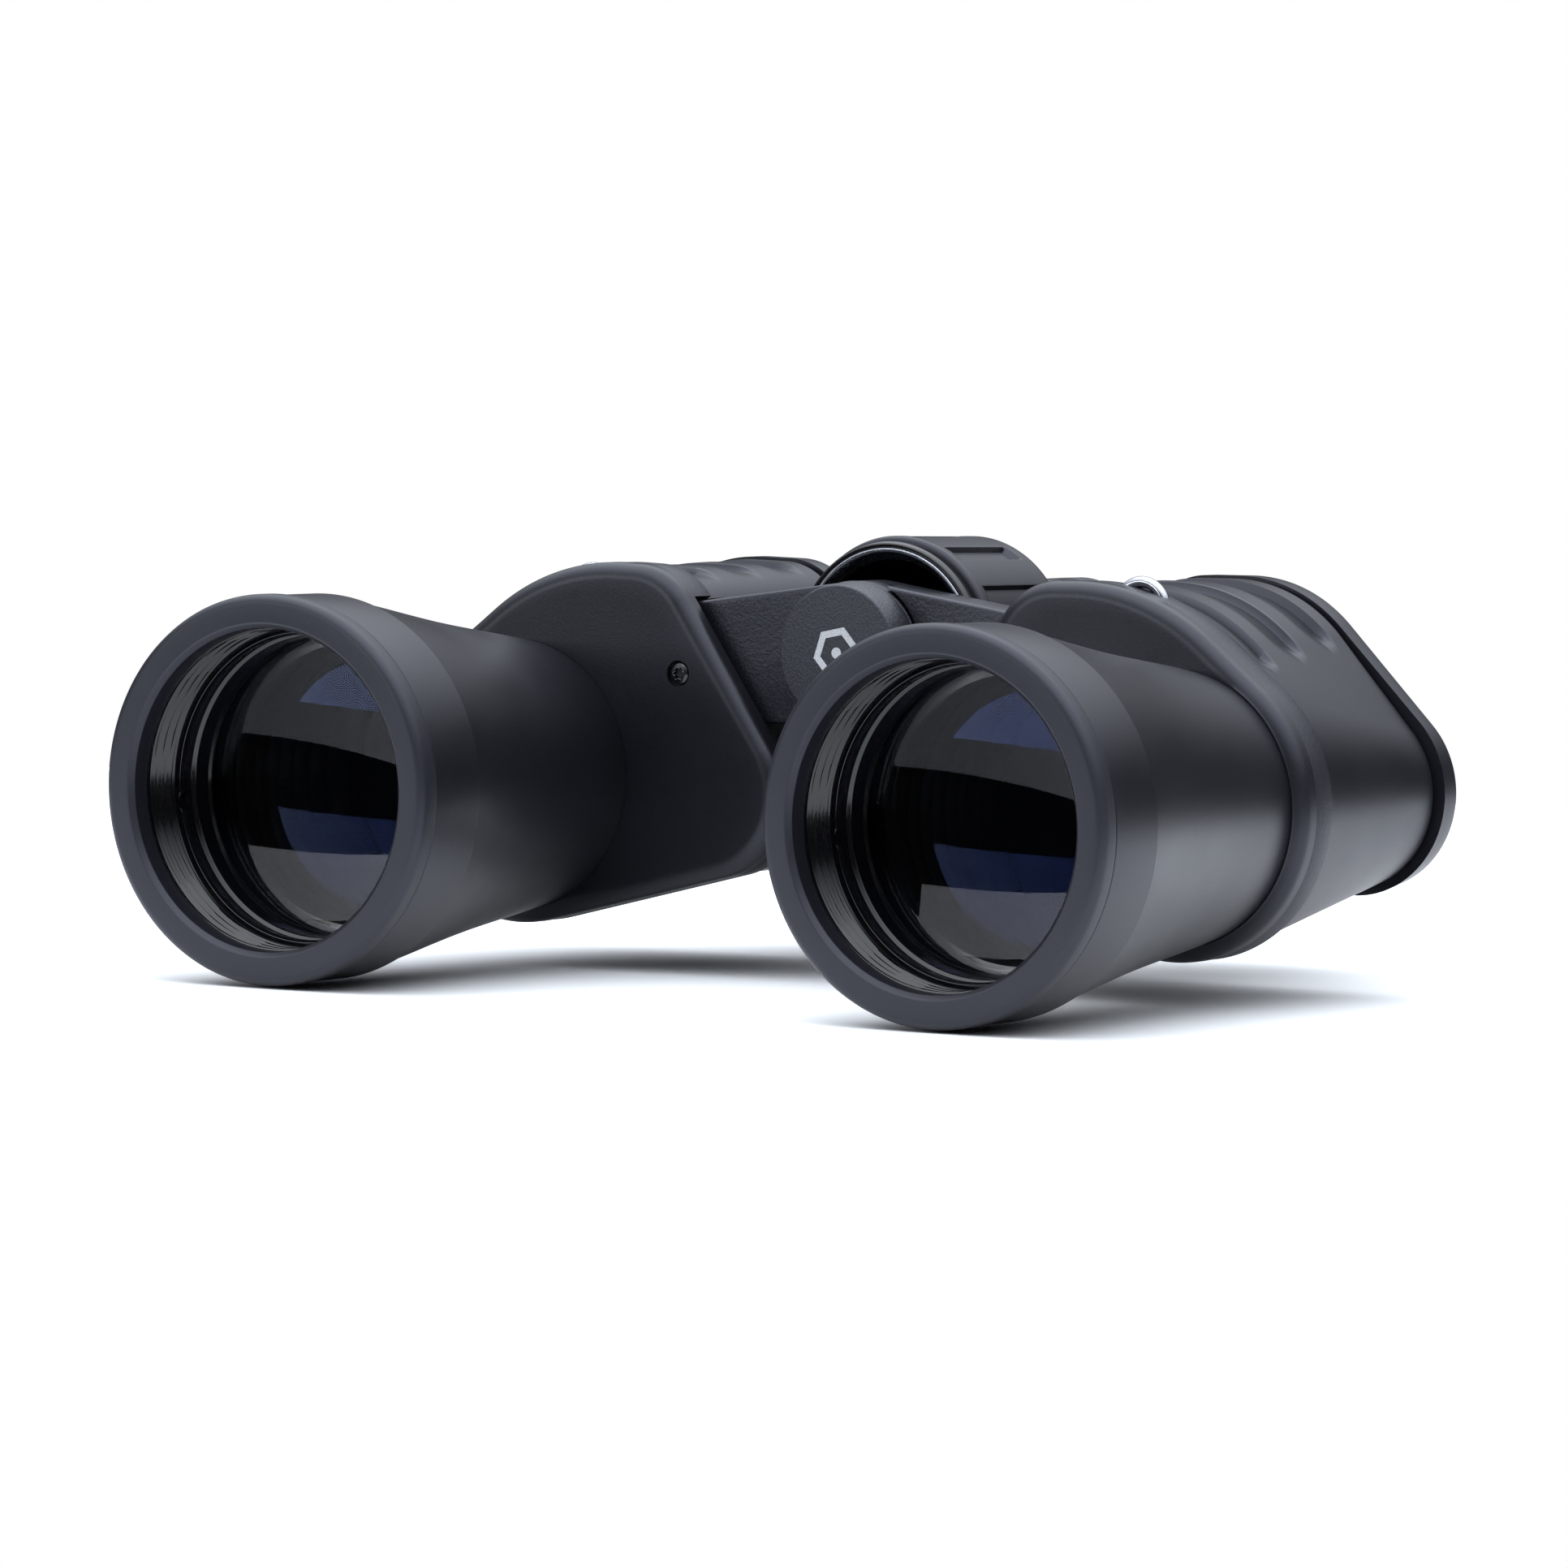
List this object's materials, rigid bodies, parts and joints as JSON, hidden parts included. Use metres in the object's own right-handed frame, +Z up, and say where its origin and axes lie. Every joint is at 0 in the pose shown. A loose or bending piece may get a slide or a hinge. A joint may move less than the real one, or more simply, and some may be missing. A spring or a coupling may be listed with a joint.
{
  "type": "binoculars",
  "caption": "Rubber-armoured Porro-prism binoculars with folding central hinge, centre focus wheel, sliding ocular bridge and dioptre ring.",
  "frame": {"origin": "on the mid-plane through the central hinge, half way along the length, level with the lowest point of the objective rims", "axes": "+Y from the objectives to the eyecups along the optical axes, +Z up, +X to the barrel that the dioptre ring is on"},
  "size_m": [0.187, 0.166, 0.0714],
  "materials": {
    "soft_rubber": "soft-touch matt, very fine speckle",
    "grip_rubber": "matt moulded rubber",
    "grained_plastic": "fine sand grain",
    "gloss_black": "gloss black paint",
    "coated_glass": "polished, blue anti-reflection coating",
    "prism_glass": "polished",
    "bright_chrome": "polished chrome",
    "dark_steel": "blackened steel",
    "black_anodised": "black anodised"
  },
  "bodies": {
    "right_half": {"right_armour": "soft_rubber", "right_chassis": "grained_plastic", "right_eyepiece_guide": "black_anodised", "right_front_cover": "soft_rubber", "right_front_prism": "prism_glass", "right_front_ring": "soft_rubber", "right_front_screw": "dark_steel", "right_lens_ring": "gloss_black", "right_light_baffle": "gloss_black", "right_objective_lens": "coated_glass", "right_objective_tube": "soft_rubber", "right_prism_shelf": "grained_plastic", "right_rear_cover": "soft_rubber", "right_rear_prism": "prism_glass", "right_rear_screws": "dark_steel", "right_strap_lug": "bright_chrome", "hinge_axle": "dark_steel", "axle_nut": "dark_steel", "hub_cap": "grained_plastic"},
    "left_half": {"left_armour": "soft_rubber", "left_chassis": "grained_plastic", "left_eyepiece_guide": "black_anodised", "left_front_cover": "soft_rubber", "left_front_prism": "prism_glass", "left_front_ring": "soft_rubber", "left_front_screw": "dark_steel", "left_lens_ring": "gloss_black", "left_light_baffle": "gloss_black", "left_objective_lens": "coated_glass", "left_objective_tube": "soft_rubber", "left_prism_shelf": "grained_plastic", "left_rear_cover": "soft_rubber", "left_rear_prism": "prism_glass", "left_rear_screws": "dark_steel", "left_strap_lug": "bright_chrome"},
    "focus_wheel": {"focus_wheel_core": "grained_plastic", "focus_wheel_grip": "grip_rubber", "focus_wheel_ring": "bright_chrome"},
    "bridge": {"right_ocular_arm": "grained_plastic", "focus_shaft": "dark_steel", "drive_pin": "dark_steel", "bridge_cap": "grained_plastic"},
    "left_ocular": {"left_ocular_arm": "grained_plastic", "left_eyepiece_tube": "black_anodised", "left_field_lens": "coated_glass", "left_eye_lens": "coated_glass", "left_eyecup": "grip_rubber"},
    "dioptre_ring": {"dioptre_ring": "black_anodised"},
    "right_ocular": {"right_eyepiece_tube": "black_anodised", "right_field_lens": "coated_glass", "right_eye_lens": "coated_glass", "right_eyecup": "grip_rubber"}
  },
  "joints": [
    {"name": "interpupillary_fold", "type": "hinge", "parent": "right_half", "child": "left_half", "pos_m": [0, 0, 0.053], "axis": [0, 1, 0], "range_deg": [-22, 36]},
    {"name": "focus_turn", "type": "hinge", "parent": "right_half", "child": "focus_wheel", "pos_m": [0, 0, 0.053], "axis": [0, 1, 0], "range_deg": [-180, 180]},
    {"name": "bridge_slide", "type": "slide", "parent": "right_half", "child": "bridge", "axis": [0, 1, 0], "range_m": [-0.004, 0.004]},
    {"name": "left_ocular_fold", "type": "hinge", "parent": "bridge", "child": "left_ocular", "pos_m": [0, 0, 0.053], "axis": [0, 1, 0], "range_deg": [-22.1, 36.1]},
    {"name": "dioptre_turn", "type": "hinge", "parent": "bridge", "child": "dioptre_ring", "pos_m": [0.032, 0, 0.0365], "axis": [0, 1, 0], "range_deg": [-60, 60]},
    {"name": "right_ocular_slide", "type": "slide", "parent": "bridge", "child": "right_ocular", "axis": [0, 1, 0], "range_m": [-0.001, 0.001]}
  ],
  "couplings": [
    {"joint": "focus_turn", "follows": "bridge_slide", "rad_per_m": 785.39},
    {"joint": "left_ocular_fold", "follows": "interpupillary_fold", "ratio": 1},
    {"joint": "dioptre_turn", "follows": "right_ocular_slide", "rad_per_m": 1047.2}
  ]
}
